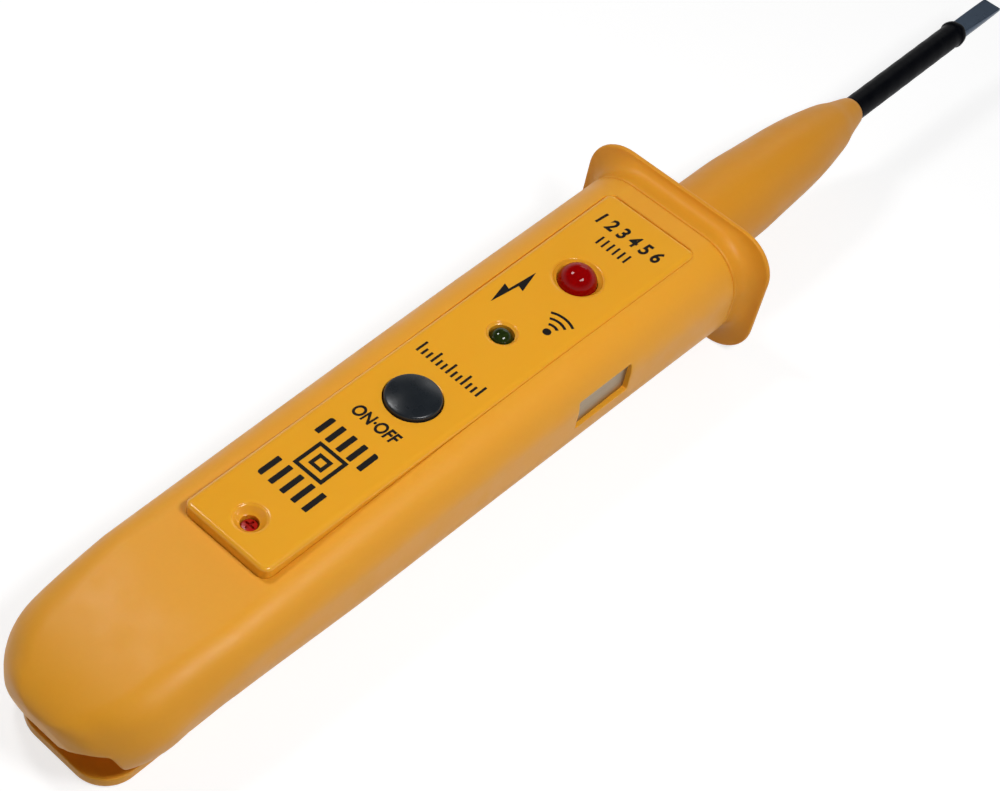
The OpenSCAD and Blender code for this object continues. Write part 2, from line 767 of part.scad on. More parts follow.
handle_shell();
face_plate();
guard_nose();
battery_cover();
blade();
blade_sleeve();
blade_retainer();
housing_screw();
button_cap();
switch_plunger();
switch_body();
switch_pins();
red_led();
red_led_leads();
green_led();
green_led_leads();
circuit_board();
board_screws();
detector_ic();
ic_legs();
capacitor();
resistors();
diodes();
transistor();
transistor_legs();
touch_plate();
safety_resistor();
contact_spring();
front_contact();
button_cells();
battery_contacts();
cover_bridge();
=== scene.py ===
# Voltage detector: finished pieces, materials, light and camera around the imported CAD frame.
# Pieces are modelled in millimetres, x measured from the butt, and become metres in finishPiece.

from math import atan2, ceil, cos, hypot, pi, radians, sin, tan

import bmesh
import bpy
from mathutils import Euler, Matrix, Vector
from mathutils.bvhtree import BVHTree


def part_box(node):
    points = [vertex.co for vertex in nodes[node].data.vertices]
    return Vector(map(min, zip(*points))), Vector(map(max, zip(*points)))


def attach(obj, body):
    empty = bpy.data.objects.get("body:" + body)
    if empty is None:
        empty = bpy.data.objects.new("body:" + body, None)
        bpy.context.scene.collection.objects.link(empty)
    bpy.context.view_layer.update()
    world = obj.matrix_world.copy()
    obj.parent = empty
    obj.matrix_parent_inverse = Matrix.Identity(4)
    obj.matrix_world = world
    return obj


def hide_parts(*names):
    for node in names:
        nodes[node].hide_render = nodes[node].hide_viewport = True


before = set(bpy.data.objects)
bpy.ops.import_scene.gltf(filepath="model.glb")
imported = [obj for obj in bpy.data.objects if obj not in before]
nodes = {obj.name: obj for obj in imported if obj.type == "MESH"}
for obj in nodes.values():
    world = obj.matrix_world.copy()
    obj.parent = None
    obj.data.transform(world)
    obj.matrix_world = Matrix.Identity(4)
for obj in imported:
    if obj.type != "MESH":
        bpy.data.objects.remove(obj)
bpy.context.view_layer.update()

# helpers for shapes


def stage(text):
    print("scene:", text)


middle = 94.65  # distance from the butt to the frame's origin
toFrame = Matrix.Scale(0.001, 4) @ Matrix.Translation((-middle, 0, 0))


def swell(x, length, power):
    # quarter of a superellipse, 0 at the end and 1 from the given length on
    return (1 - (1 - min(1, max(x, 0) / length)) ** power) ** (1 / power)


def between(a, b, share):
    return a + (b - a) * share


def pull(turn):
    # how far a quarter round of radius 1 has drawn in at this angle in degrees
    return 1 - cos(radians(turn))


def sink(turn):
    # how far below its top it still is there
    return 1 - sin(radians(turn))


def cornerArc(y, z, a, b, start, steps, sweep=90):
    turns = [radians(start + sweep * i / steps) for i in range(steps + 1)]
    return [(y + a * cos(turn), z + b * sin(turn)) for turn in turns]


def ringAt(x, outline):
    return [Vector((x, y, z)) for y, z in outline]


def linkArcs(arcs, count=None, pitch=4):
    # corner arcs and the points on the straights between them, of a given count or one per pitch
    points = []
    for arc, following in zip(arcs, arcs[1:] + arcs[:1]):
        (ax, ay), (bx, by) = arc[-1], following[0]
        parts = count or ceil(hypot(bx - ax, by - ay) / pitch)
        points += arc + [(between(ax, bx, k / parts), between(ay, by, k / parts)) for k in range(1, parts)]
    return points


def roundOutline(right, left, top, bottom, radii, steps=12, flats=4, leftTop=None):
    # points round a box from its right top corner on; radii = (top a, top b, low a, low b)
    a, b, c, d = radii
    e, f = leftTop or (a, b)
    corners = ((right - a, top - b, a, b, 0), (left + e, top - f, e, f, 90), (left + c, bottom + d, c, d, 180),
               (right - c, bottom + d, c, d, 270))
    return linkArcs([cornerArc(*corner, steps) for corner in corners], flats)


def faceOut(bm):
    bmesh.ops.recalc_face_normals(bm, faces=bm.faces)


def weld(bm, distance, thinnest=None):
    # one vertex where several lie so close, and no edge or face thinner than a given size
    bmesh.ops.remove_doubles(bm, verts=bm.verts, dist=distance)
    if thinnest:
        bmesh.ops.dissolve_degenerate(bm, edges=bm.edges, dist=thinnest)


def loft(rings, join=False):
    # a circle of vertices, extruded from ring to ring and laid on each ring's places
    bm = bmesh.new()
    spot = bm.verts.layers.int.new("spot")
    fresh = bmesh.ops.create_circle(bm, segments=len(rings[0]), radius=1)["verts"]
    for i, vert in enumerate(fresh):
        vert[spot] = i
    edges = bm.edges[:]
    for count, ring in enumerate(rings):
        if count:
            grown = bmesh.ops.extrude_edge_only(bm, edges=edges)["geom"]
            fresh = [g for g in grown if isinstance(g, bmesh.types.BMVert)]
            known = set(fresh)
            edges = [g for g in grown if isinstance(g, bmesh.types.BMEdge) and known.issuperset(g.verts)]
        for vert in fresh:
            vert.co = ring[vert[spot]]
    ends = [e for e in bm.edges if e.is_boundary]
    if join:
        bmesh.ops.bridge_loops(bm, edges=ends)
    else:
        bmesh.ops.holes_fill(bm, edges=ends, sides=0)
    faceOut(bm)
    return bm


def spinProfile(profile, centre, axis, steps=96, join=False):
    # profile of (radius, level) pairs turned round an axis; its ends lie on the axis or it is closed
    bm = bmesh.new()
    side = Vector((1, 0, 0)) if axis == "Z" else Vector((0, 0, 1))
    along = Vector((0, 0, 1)) if axis == "Z" else Vector((1, 0, 0))
    verts = [bm.verts.new(Vector(centre) + side * r + along * level) for r, level in profile]
    pairs = list(zip(verts, verts[1:] + (verts[:1] if join else [])))
    edges = [bm.edges.new(pair) for pair in pairs]
    bmesh.ops.spin(bm, geom=verts + edges, cent=centre, axis=along, angle=2 * pi, steps=steps, use_merge=True)
    weld(bm, 0.0005)
    faceOut(bm)
    return bm


def roundEdges(bm, edges, width, segments=2, **options):
    bmesh.ops.bevel(bm, geom=edges, offset=width, affect="EDGES", segments=segments, profile=0.5, material=-1,
                    **options)


def boxMesh(low, high, bevel=0.0, vertical=0.0, along=0.0, segments=8):
    # a box between two corners, with rounded upright or lengthwise edges, or all edges broken
    bm = bmesh.new()
    low, high = Vector(low), Vector(high)
    size = high - low
    place = Matrix.Translation((low + high) / 2) @ Matrix.Diagonal((*size, 1))
    bmesh.ops.create_cube(bm, size=1, matrix=place)
    edges = bm.edges[:]
    for width, direction in ((vertical, 2), (along, 0)):
        if width:
            reach = size[direction] * 0.9
            chosen = [e for e in edges if abs((e.verts[0].co - e.verts[1].co)[direction]) > reach]
            roundEdges(bm, chosen, width, segments)
    if bevel:
        roundEdges(bm, edges, bevel)
    return bm


def middleBox(start, end, width, low, high, **rounds):
    # a box laid evenly across the middle plane
    return boxMesh((start, -width / 2, low), (end, width / 2, high), **rounds)


def hold(name, data):
    holder = bpy.data.objects.new(name, data)
    bpy.context.scene.collection.objects.link(holder)
    return holder


def asObject(bm, name="piece"):
    mesh = bpy.data.meshes.new(name)
    bm.to_mesh(mesh)
    bm.free()
    return hold(name, mesh)


def combine(piece, shapes, operation="DIFFERENCE"):
    # cuts shapes from a piece, or joins them to it, one after another
    tools = []
    for bm in shapes:
        faceOut(bm)
        tools.append(asObject(bm))
        modifier = piece.modifiers.new("cut", "BOOLEAN")
        modifier.operation, modifier.solver, modifier.object = operation, "EXACT", tools[-1]
    graph = bpy.context.evaluated_depsgraph_get()
    mesh = bpy.data.meshes.new_from_object(piece.evaluated_get(graph))
    piece.modifiers.clear()
    piece.data = mesh
    for tool in tools:
        bpy.data.objects.remove(tool)
    return piece


def joined(pieces):
    # several closed shells in one mesh
    bm = bmesh.new()
    for piece in pieces:
        bm.from_mesh(piece.data)
        bpy.data.objects.remove(piece)
    return asObject(bm)


def finishPiece(piece, name, material, replaced=(), body="body", sharp=34, weighted=True):
    # millimetres from the butt become metres in the frame; smooth faces with sharp edges kept
    mesh = piece.data
    mesh.transform(toFrame)
    piece.name = mesh.name = name
    mesh.materials.clear()
    mesh.materials.append(material)
    mesh.set_sharp_from_angle(angle=radians(sharp))
    if weighted:
        piece.modifiers.new("faceNormals", "WEIGHTED_NORMAL").keep_sharp = True
    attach(piece, body)
    if replaced:
        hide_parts(*replaced)


# helpers for materials


def hexColour(code):
    # sRGB hex to the linear colour that the shader takes
    channels = [int(code[i:i + 2], 16) / 255 for i in (0, 2, 4)]
    return [c / 12.92 if c <= 0.04045 else ((c + 0.055) / 1.055) ** 2.4 for c in channels] + [1]


def addNode(tree, kind, settings=None, links=None):
    node = tree.nodes.new("ShaderNode" + kind)
    for key, value in (settings or {}).items():
        if isinstance(key, str) and hasattr(node, key):
            setattr(node, key, value)
        else:
            node.inputs[key].default_value = value
    for key, source in (links or {}).items():
        tree.links.new(source, node.inputs[key])
    return node


def noise(tree, place, size, detail):
    # its cells measure size millimetres on object coordinates in metres
    return addNode(tree, "TexNoise", {"Scale": 1000 / size, "Detail": detail}, {"Vector": place}).outputs["Fac"]


def ranged(tree, value, start, end, low, high):
    # values from start to end become values from low to high
    return addNode(tree, "MapRange", {"From Min": start, "From Max": end, "To Min": low, "To Max": high},
                   {"Value": value}).outputs["Result"]


def startMaterial(name, settings):
    material = bpy.data.materials.new(name)
    material.use_nodes = True
    tree = material.node_tree
    tree.nodes.clear()
    shader = addNode(tree, "BsdfPrincipled", settings)
    output = addNode(tree, "OutputMaterial")
    tree.links.new(shader.outputs["BSDF"], output.inputs["Surface"])
    return material, tree, shader, addNode(tree, "TexCoord").outputs["Object"]


def dress(tree, shader, colour, rough, normal):
    for key, source in (("Base Color", colour), ("Roughness", rough), ("Normal", normal)):
        tree.links.new(source, shader.inputs[key])


def tinted(tree, place, colours, size, detail):
    # a colour that drifts softly between the first two of a list
    return addNode(tree, "Mix", {"data_type": "RGBA", 6: hexColour(colours[0]), 7: hexColour(colours[1])},
                   {0: noise(tree, place, size, detail)}).outputs[2]


def bumped(tree, depth, **links):
    # normals of a relief so many millimetres deep
    return addNode(tree, "Bump", {"Distance": depth / 1000, "Strength": 1}, links).outputs["Normal"]


# sizes and depths of a surface in millimetres
plainSkin = {"fleck": 0.3, "fleckSize": 0.3, "cloud": 2, "gloss": 1, "grain": 0.2,
             "grainDepth": 0.004, "wave": 1, "waveDepth": 0.004}


def mouldedPlastic(name, colours, rough, ior, specular=0.5, more=None, **changes):
    # a moulded surface: soft large-scale tint drift, a fine speckle, uneven gloss and a fine spark-eroded
    # grain; the colours are those of the plastic, its drift and its speckle, rough is a lowest and highest
    look, colours = {**plainSkin, **changes}, colours.split()
    settings = {"IOR": ior, "Specular IOR Level": specular, **(more or {})}
    material, tree, shader, place = startMaterial(name, settings)
    tint = tinted(tree, place, colours, look["cloud"], 2)
    spread = ranged(tree, noise(tree, place, look["fleckSize"], 3), 0.3, 0.7, 0, look["fleck"])
    flecked = addNode(tree, "Mix", {"data_type": "RGBA", 7: hexColour(colours[2])}, {0: spread, 6: tint})
    gloss = ranged(tree, noise(tree, place, look["gloss"], 4), 0.3, 0.7, *rough)
    coarse = bumped(tree, look["waveDepth"], Height=noise(tree, place, look["wave"], 1))
    fine = bumped(tree, look["grainDepth"], Height=noise(tree, place, look["grain"], 2), Normal=coarse)
    dress(tree, shader, flecked.outputs[2], gloss, fine)
    return material


def plainMetal(name, colours, rough, cloud, lineSize, stretch, depth):
    # metal with a tint drift, uneven roughness and fine lines drawn out along one direction
    material, tree, shader, place = startMaterial(name, {"Metallic": 1})
    turned = addNode(tree, "Mapping", {"Scale": stretch}, {"Vector": place}).outputs["Vector"]
    lines = noise(tree, turned, lineSize, 3)
    dress(tree, shader, tinted(tree, place, colours.split(), cloud, 3),
          ranged(tree, lines, 0.25, 0.75, *rough), bumped(tree, depth, Height=lines))
    return material


stage("materials")

softAbs = {"Subsurface Weight": 0.12, "Subsurface Radius": (1.0, 0.45, 0.12), "Subsurface Scale": 0.0012}
# the real grain is near 0.05 mm, drawn coarser so that it shows
absSkin = {"fleck": 0.10, "fleckSize": 0.5, "gloss": 3, "grain": 0.28, "grainDepth": 0.006,
           "wave": 9, "waveDepth": 0.05}

# ABS, injection moulded in a lightly eroded tool: a soft satin with hardly any mirror image
bodyAbs = mouldedPlastic("mouldedAbs", "F2A82E EDA228 E19921", (0.40, 0.50), 1.53, 0.32, softAbs,
                         cloud=22, **absSkin)

# the guard's moulding: the same plastic, a little deeper and more orange in colour as painted shade, standing
# in for the light bounced and shaded inside the hollow flare and along the nose
shadedGuardAbs = mouldedPlastic("mouldedAbsGuardPaintedShade", "E69C29 E09523 D58D1F", (0.40, 0.50), 1.53, 0.24, softAbs,
                          cloud=18, **absSkin)

# ABS from a polished tool: the same plastic, clearer yellow and glossier
plateAbs = mouldedPlastic("polishedAbs", "F3AC2C EFA728 E69F22", (0.16, 0.23), 1.53, 0.4,
                          {**softAbs, "Subsurface Radius": (1.0, 0.45, 0.10)}, fleck=0.04, cloud=18,
                          fleckSize=0.6, gloss=4, grain=0.5, grainDepth=0.0015, wave=9,
                          waveDepth=0.012)

# silicone rubber key: matt, nearly black with a blue cast
keyRubber = mouldedPlastic("siliconeRubber", "15191D 1B2025 242A31", (0.25, 0.34), 1.43, fleck=0.25,
                           cloud=5, fleckSize=0.25, gloss=1.5, wave=3, waveDepth=0.01)

# epoxy lamp body dyed red: a wet clear skin over deep colour
redEpoxy = mouldedPlastic("dyedEpoxyRed", "980103 860102 AA0406", (0.02, 0.04), 1.55, 0.13, {
    "Subsurface Weight": 0.3, "Subsurface Radius": (1.0, 0.06, 0.04), "Subsurface Scale": 0.0015},
    fleck=0.2, cloud=2.5, fleckSize=0.8, gloss=2, grain=1, grainDepth=0.0008, wave=2.5,
    waveDepth=0.006)

# epoxy lamp body dyed green, dark while the lamp is off
greenEpoxy = mouldedPlastic("dyedEpoxyGreen", "1C280A 141C06 3C5216", (0.06, 0.11), 1.55, 0.3, fleck=0.35,
                            cloud=1.2, fleckSize=0.5, gloss=1.5, grain=1, grainDepth=0.0008,
                            wave=2, waveDepth=0.006)

# shrunk polyolefin tube: smooth near-black skin, a little wavy
sleevePolymer = mouldedPlastic("shrunkPolyolefin", "040509 07080D 0E1016", (0.34, 0.48), 1.5, 0.04,
                               cloud=4, fleckSize=0.4, gloss=1.5, grain=0.3, wave=1.6,
                               waveDepth=0.03)

# screen-printed ink: dead flat near-black with a dry surface
printInk = mouldedPlastic("screenInk", "0C0C0D 111111 1C1A17", (0.5, 0.65), 1.5, 0.18, fleck=0.35,
                          cloud=1.5, fleckSize=0.18, grain=0.15)

# red locking lacquer on the small screw
screwLacquer = mouldedPlastic("lockingLacquer", "B5140A 8E0F08 CC2410", (0.22, 0.35), 1.5, cloud=0.8,
                              gloss=0.8, grain=0.3, grainDepth=0.01, wave=0.8, waveDepth=0.02)

# chrome-vanadium steel, ground across the tip: cool grey with fine scratches
bladeSteel = plainMetal("groundSteel", "47576A 3F4D5E", (0.26, 0.42), 3, 0.25, (1, 0.12, 1), 0.004)

# tin-plated brass strip, rolled: warm grey, dull
platedBrass = plainMetal("tinnedBrass", "A3937A 94846D", (0.34, 0.5), 4, 0.3, (0.1, 1, 1), 0.004)

# bright solder on copper wire
tinnedWire = plainMetal("tinnedCopper", "C9CBD0 B4B7BC", (0.2, 0.38), 1.5, 0.3, (1, 1, 1), 0.006)

# nickel-plated steel can of a button cell
cellSteel = plainMetal("nickelledSteel", "C4C6CA B2B5BA", (0.18, 0.3), 5, 0.3, (1, 0.2, 1), 0.003)

# glass-epoxy laminate under green solder resist, with its weave just showing
boardLaminate = mouldedPlastic("glassEpoxyLaminate", "1E5A2E 1A5029 2C6E3B", (0.22, 0.34), 1.5, 0.5,
                               {"Coat Weight": 0.4, "Coat Roughness": 0.15}, fleck=0.4, cloud=8,
                               fleckSize=0.4, gloss=2, grain=0.4, grainDepth=0.01, wave=3,
                               waveDepth=0.01)

# transfer-moulded epoxy of chips and transistors: matt black, faintly speckled
chipEpoxy = mouldedPlastic("mouldedEpoxy", "1A1A1D 202024 2E2E33", (0.5, 0.62), 1.55, fleck=0.4, cloud=3,
                           fleckSize=0.15, grain=0.12, grainDepth=0.006)

# glass-filled nylon of the switch body
switchNylon = mouldedPlastic("filledNylon", "2B2B2E 333337 45454A", (0.4, 0.55), 1.53, fleck=0.4,
                             fleckSize=0.2, grain=0.15, grainDepth=0.008)

# acetal plunger: white, waxy
plungerAcetal = mouldedPlastic("acetal", "E9E6DE E2DED4 D8D3C6", (0.3, 0.4), 1.48, 0.5, {
    "Subsurface Weight": 0.2, "Subsurface Radius": (0.5, 0.5, 0.45), "Subsurface Scale": 0.001},
    fleck=0.2, grainDepth=0.003, waveDepth=0.003)

# shrunk vinyl sleeve of the capacitor
capacitorVinyl = mouldedPlastic("shrunkVinyl", "1F2A55 1B254C 2B3870", (0.2, 0.32), 1.53, fleck=0.25,
                                grain=0.3, waveDepth=0.01)

# baked lacquer over the resistor's film
resistorLacquer = mouldedPlastic("bakedLacquer", "C9A26B C09860 B0884F", (0.3, 0.42), 1.5, cloud=1.5,
                                 fleckSize=0.25, grainDepth=0.006, waveDepth=0.01)

# small glass diode body, orange inside
diodeGlass = mouldedPlastic("sealedGlass", "A0431E 8A3616 C2602E", (0.06, 0.12), 1.5, 0.5, {"Coat Weight": 0.6},
                            cloud=1, fleckSize=0.4, grain=0.5, grainDepth=0.001, waveDepth=0.003)

stage("handle")

handle = {
    "length": 103.5, "waistWidth": 22.0, "seamWidth": 25.0, "under": 2.8, "face": 18.4, "lip": 0.12,
    "edge": 0.34, "topRadius": 3.5, "topEase": 2.9, "seamRadius": 6.6, "lowRadius": 6.1, "widthEase": 0.7,
    "heightEase": 2.1, "most": 0.98, "buttLength": 10.5, "domeLength": 18.6, "backFall": 2.7,
    "riseLength": 78.0, "buttLevel": 10.7, "tuckLength": 2.75, "endTight": 0.55, "endTightLength": 5.0,
    "hollow": 1.5, "hollowWidth": 0.75, "hollowAt": 15.5, "hollowLength": 25.0, "domeRings": 30,
    "bodyRings": 88, "brokenEdge": 0.11}
face = handle["face"]


def halfWidth(x):
    full = between(handle["waistWidth"], handle["seamWidth"], (x / handle["length"]) ** 1.5)
    return full / 2 * swell(x, handle["buttLength"], 2.3)


def backLevel(x):
    full = face - handle["lip"] - handle["backFall"] * max(0, 1 - x / handle["riseLength"]) ** 1.5
    return between(handle["buttLevel"], full, swell(x, handle["domeLength"], 2))


def lowLevel(x):
    return between(handle["buttLevel"], handle["under"], swell(x, handle["tuckLength"], 1.2))


def footRadii(x, ease):
    # half width and height of the rounded foot: tight over the butt's end, fuller where the cover's edge shows
    tight = 1 - handle["endTight"] * max(0, 1 - x / handle["endTightLength"])
    near = max(0, 1 - abs(x - handle["hollowAt"]) / handle["hollowLength"])
    hollow = handle["hollow"] * near * near * (3 - 2 * near)
    return ((handle["lowRadius"] - handle["widthEase"] * ease + handle["hollowWidth"] * hollow) * tight,
            (handle["lowRadius"] + handle["heightEase"] * ease + hollow) * tight)


def handleRing(x, inset=0.0, at=None):
    # section of the handle at x, shrunk by inset, laid at another place if one is given
    half, top, low = halfWidth(x), backLevel(x), lowLevel(x)
    ease = max(0, 1 - x / handle["domeLength"])
    upper = between(handle["topRadius"], handle["seamRadius"], x / handle["length"]) + handle["topEase"] * ease
    footWidth, footHeight = footRadii(x, ease)
    # the rounds together take at most this much of the section's width and height
    widest, highest = half * handle["most"], handle["most"] * (top - low)
    fit = min(1, highest / (upper + handle["lowRadius"] + handle["heightEase"] * ease))
    topRadius = min(upper * fit, widest)
    radii = [topRadius, topRadius, min(footWidth, widest), min(footHeight * fit, highest - upper * fit)]
    radii = [max(r - inset, r * 0.5) for r in radii]
    outline = roundOutline(half - inset, inset - half, top - inset, low + inset, radii)
    return ringAt(x if at is None else at, outline)


domeStations = [max(0.003, handle["domeLength"] * pull(90 * i / handle["domeRings"]))
                for i in range(handle["domeRings"] + 1)]
bodyStart, bodyEnd = handle["domeLength"], handle["length"] - handle["edge"]
bodyStations = [between(bodyStart, bodyEnd, i / handle["bodyRings"]) for i in range(1, handle["bodyRings"] + 1)]
rings = [handleRing(x) for x in domeStations + bodyStations]
for turn in (30, 60, 90):  # rounded rim at the seam with the guard
    rings.append(handleRing(handle["length"], handle["edge"] * pull(turn),
                            bodyEnd + handle["edge"] * sin(radians(turn))))
outer = loft(rings)
outerTree = BVHTree.FromBMesh(outer)
handlePiece = asObject(outer)

plate = {
    "start": 25.6, "end": 100.2, "rearWidth": 12.7, "frontWidth": 14.3, "thickness": 2.4, "gap": 0.03,
    "endRound": 0.55, "sideRound": 0.95, "footCorner": 1.3, "topCorner": 0.7, "cornerSteps": 10}


def plateOutline(grow, corner, insetEnd=0.0, insetSide=0.0):
    # tapered plan of the face plate with round corners, in the order of roundOutline
    x0, x1 = plate["start"] - grow + insetEnd, plate["end"] + grow - insetEnd
    rear, front = plate["rearWidth"] / 2 + grow - insetSide, plate["frontWidth"] / 2 + grow - insetSide
    corners = [(x1 - corner, front - corner, 0), (x0 + corner, rear - corner, 90),
               (x0 + corner, corner - rear, 180), (x1 - corner, corner - front, 270)]
    return linkArcs([cornerArc(x, y, corner, corner, start, plate["cornerSteps"]) for x, y, start in corners])


def prism(outline, low, high):
    return loft([[Vector((x, y, z)) for x, y in outline] for z in (low, high)])


bay = {"start": 4.9, "width": 13.2, "radius": 5.0, "top": 10.8, "bulkhead": 33.3, "coverTop": 4.3}
# seats of the cover's tongue and snap tab and slots for the contact strips, each by its two corners
seats = {"tongue": ((31.9, -4.2, 4.25), (37.5, 4.2, 6.1)), "tab": ((2.9, -2.1, 3.8), (3.9, 2.1, 5.4)),
         "rightSlot": ((32.8, -3.5, 10.2), (37.5, -0.9, 10.8)),
         "leftSlot": ((32.8, 0.9, 10.2), (37.5, 3.5, 10.8))}
window = {"x": 77.7, "length": 9.8, "height": 4.4, "depth": 6.3, "plateLength": 12.5, "plateHeight": 5.0,
          "plateThickness": 0.4, "skin": 0.62, "play": 0.2}
touchOuter = halfWidth(window["x"]) - window["skin"]
windowLevel = face - window["depth"]
cavity = {"start": 37.0, "width": 19.2, "top": 14.7, "floor": 4.2, "radius": 3.2, "mouth": 11.8,
          "mouthRadius": 0.9}
wallPlace = -cavity["width"] / 2
through = 0.5  # how far a cut runs on into the next one


def sideBox(length, height, outside, inside, bevel=0.0):
    # a box centred on the side window
    return boxMesh((window["x"] - length / 2, outside, windowLevel - height / 2),
                   (window["x"] + length / 2, inside, windowLevel + height / 2), bevel)


# finger notch in the butt's right corner; its outline as (along the cut's face, level) pairs
notch = {"x": 4.7, "y": -7.3, "turn": 118.5, "reach": 6.9, "depth": 1.6, "outline": [
    (-1.35, 3.8), (-1.2, 5.6), (-1.02, 7.0), (-0.76, 7.85), (-0.46, 8.55), (-0.14, 9.1), (0.17, 9.42),
    (0.5, 9.5), (1.34, 9.45), (2.65, 9.3), (4.0, 8.85), (5.2, 7.8), (6.1, 6.2), (6.7, 3.8)]}
notchTurn = Euler((pi / 2, 0, radians(notch["turn"])))
notchPlace = Matrix.LocRotScale(Vector((notch["x"], notch["y"], 0)), notchTurn, None)
notchTool = loft([[notchPlace @ Vector((u, z, w)) for u, z in notch["outline"]]
                  for w in (-notch["reach"], notch["depth"])])

combine(handlePiece, [
    middleBox(-1, 35, 40, 1, bay["coverTop"]),  # room for the battery cover
    prism(plateOutline(plate["gap"], plate["footCorner"] + plate["gap"]), face - plate["thickness"], face + 1),
    notchTool,
    # cavity with its mouth under the face plate, and the battery bay
    middleBox(cavity["start"], plate["end"] - 1, cavity["mouth"], cavity["top"] - through, face,
              vertical=cavity["mouthRadius"]),
    middleBox(cavity["start"], handle["length"] + 1, cavity["width"], cavity["floor"], cavity["top"],
              along=cavity["radius"]),
    middleBox(bay["start"], bay["bulkhead"], bay["width"], bay["coverTop"] - through, bay["top"],
              vertical=bay["radius"], segments=16),
    # side window and the seat of the touch plate behind it
    sideBox(window["length"], window["height"], -25, wallPlace + 1, 0.25),
    sideBox(window["plateLength"] + window["play"], window["plateHeight"] + window["play"], -touchOuter,
            wallPlace + through)] + [boxMesh(*corners) for corners in seats.values()])

# small rounds on the cuts' sharp edges where they meet the outer skin
bm = bmesh.new()
bm.from_mesh(handlePiece.data)
weld(bm, 0.03, 0.015)
chosen = []
for edge in bm.edges:
    place = (edge.verts[0].co + edge.verts[1].co) / 2
    if (len(edge.link_faces) == 2 and edge.calc_face_angle(0) > radians(32)
            and outerTree.find_nearest(place)[3] < 0.02 and place.x < handle["length"] - 0.3):
        chosen.append(edge)
roundEdges(bm, chosen, handle["brokenEdge"], clamp_overlap=False, miter_outer="ARC", loop_slide=True)
weld(bm, 0.004, 0.004)
bm.to_mesh(handlePiece.data)
bm.free()
finishPiece(handlePiece, "handleShell", bodyAbs, ["handle_shell"])

stage("face plate")

controls = {"screw": 29.5, "button": 55.2, "green": 70.8, "red": 85.1}
holes = {"screw": {"bore": 1.1, "rim": 0.35, "dish": 2.0, "depth": 1.0, "root": 1.25},
         "button": {"bore": 3.58, "rim": 0.16, "flatness": 1, "steps": 6},
         "green": {"bore": 1.6, "rim": 0.3, "dish": 1.95, "depth": 0.3, "root": 1.2},
         "red": {"bore": 2.6, "rim": 0.45, "dish": 3.25, "depth": 0.7, "root": 1.6}}
posts = {"places": (42.1, 94.5), "radius": 1.8, "foot": bay["top"] - 0.3, "top": face - plate["thickness"] / 2}


def plateRing(turn, blend):
    # turn 0 is the foot of the rounded top edge, 90 its end on the face; sides are rounded more than ends,
    # and blend leads from the foot's corners to the sharper ones on top
    corner = between(plate["footCorner"], plate["topCorner"], blend)
    outline = plateOutline(0, corner, plate["endRound"] * pull(turn), plate["sideRound"] * pull(turn) * 0.9)
    ring = []
    for x, y in outline:
        sideShare = min(1, max(0, min(x - plate["start"], plate["end"] - x)) / 1.2)
        height = between(plate["endRound"], plate["sideRound"] * 0.55, sideShare)
        ring.append(Vector((x, y, face - height * sink(turn))))
    return ring


plateRings = [[Vector((x, y, face - plate["thickness"])) for x, y in plateOutline(0, plate["footCorner"])]]
plateRings += [plateRing(turn, min(1, 0.2 + turn / 60)) for turn in range(0, 91, 10)]
platePiece = asObject(loft(plateRings))


def holeTool(x, bore, rim, dish=None, depth=0, root=1, flatness=0.35, steps=7):
    # cutter for a bore with a dish of a soft root, if it has one, and a rim rolled over onto the face
    edge = dish or bore
    profile = [(0, -plate["thickness"] - 1), (bore, -plate["thickness"] - 1)]
    if dish:
        shares = [i / (steps + 1) for i in range(steps + 1)]
        profile += [(between(bore, dish, share), -depth * (1 - share ** root)) for share in shares]
    profile += [(edge + rim * pull(90 * i / steps), -rim * flatness * sink(90 * i / steps))
                for i in range(steps + 1)]
    return spinProfile(profile + [(edge + rim, 1), (0, 1)], (x, 0, face), "Z")


for x in posts["places"]:
    profile = [(0, posts["foot"]), (posts["radius"], posts["foot"]), (posts["radius"], posts["top"]),
               (0, posts["top"])]
    combine(platePiece, [spinProfile(profile, (x, 0, 0), "Z", 32)], "UNION")
combine(platePiece, [holeTool(controls[name], **hole) for name, hole in holes.items()])
finishPiece(platePiece, "facePlate", plateAbs, ["face_plate"], sharp=40)

stage("guard and nose")

guard = {
    "seam": 103.5, "flare": 3.0, "rim": 0.8, "rimWidth": 29.8, "over": 1.5, "drop": 2.8, "rimRadius": 5.6,
    "axisDepth": 8.6, "noseLength": 42.4, "noseRadius": 6.05, "rootHeight": 1.15, "rootLength": 3.1,
    "edge": 0.34, "points": 144, "bend": 1.4, "flareShare": 0.95, "backRound": 0.35, "frontRound": 0.45,
    "frontDrop": 0.4, "noseSteps": 56, "spigot": 5.6, "spigotWall": 1.2, "spigotPlay": 0.05,
    "bladeBack": 14.4, "chamber": 2.7}
seam = guard["seam"]
noseStart = seam + guard["flare"] + guard["rim"]
noseEnd = noseStart + guard["noseLength"]
axisLevel = face - guard["axisDepth"]
noseTable = [(0, 1), (0.08, 1), (0.2, 0.997), (0.343, 0.988), (0.434, 0.947), (0.525, 0.907), (0.616, 0.864),
             (0.708, 0.797), (0.799, 0.696), (0.868, 0.602), (0.913, 0.499), (0.959, 0.418), (0.991, 0.365),
             (1, 0.345)]


def smoothTable(table, x):
    # cubic through a table of (place, value) pairs
    k = max(i for i in range(len(table) - 1) if table[i][0] <= x)
    slopes = [(b[1] - a[1]) / (b[0] - a[0]) for a, b in zip(table, table[1:])]
    slopeAt = [slopes[0]] + [(a + b) / 2 for a, b in zip(slopes, slopes[1:])] + [slopes[-1]]
    (x0, y0), (x1, y1) = table[k], table[k + 1]
    width = x1 - x0
    t = (x - x0) / width
    return (y0 * (2 * t ** 3 - 3 * t * t + 1) + y1 * (3 * t * t - 2 * t ** 3)
            + width * slopeAt[k] * (t ** 3 - 2 * t * t + t) + width * slopeAt[k + 1] * (t ** 3 - t * t))


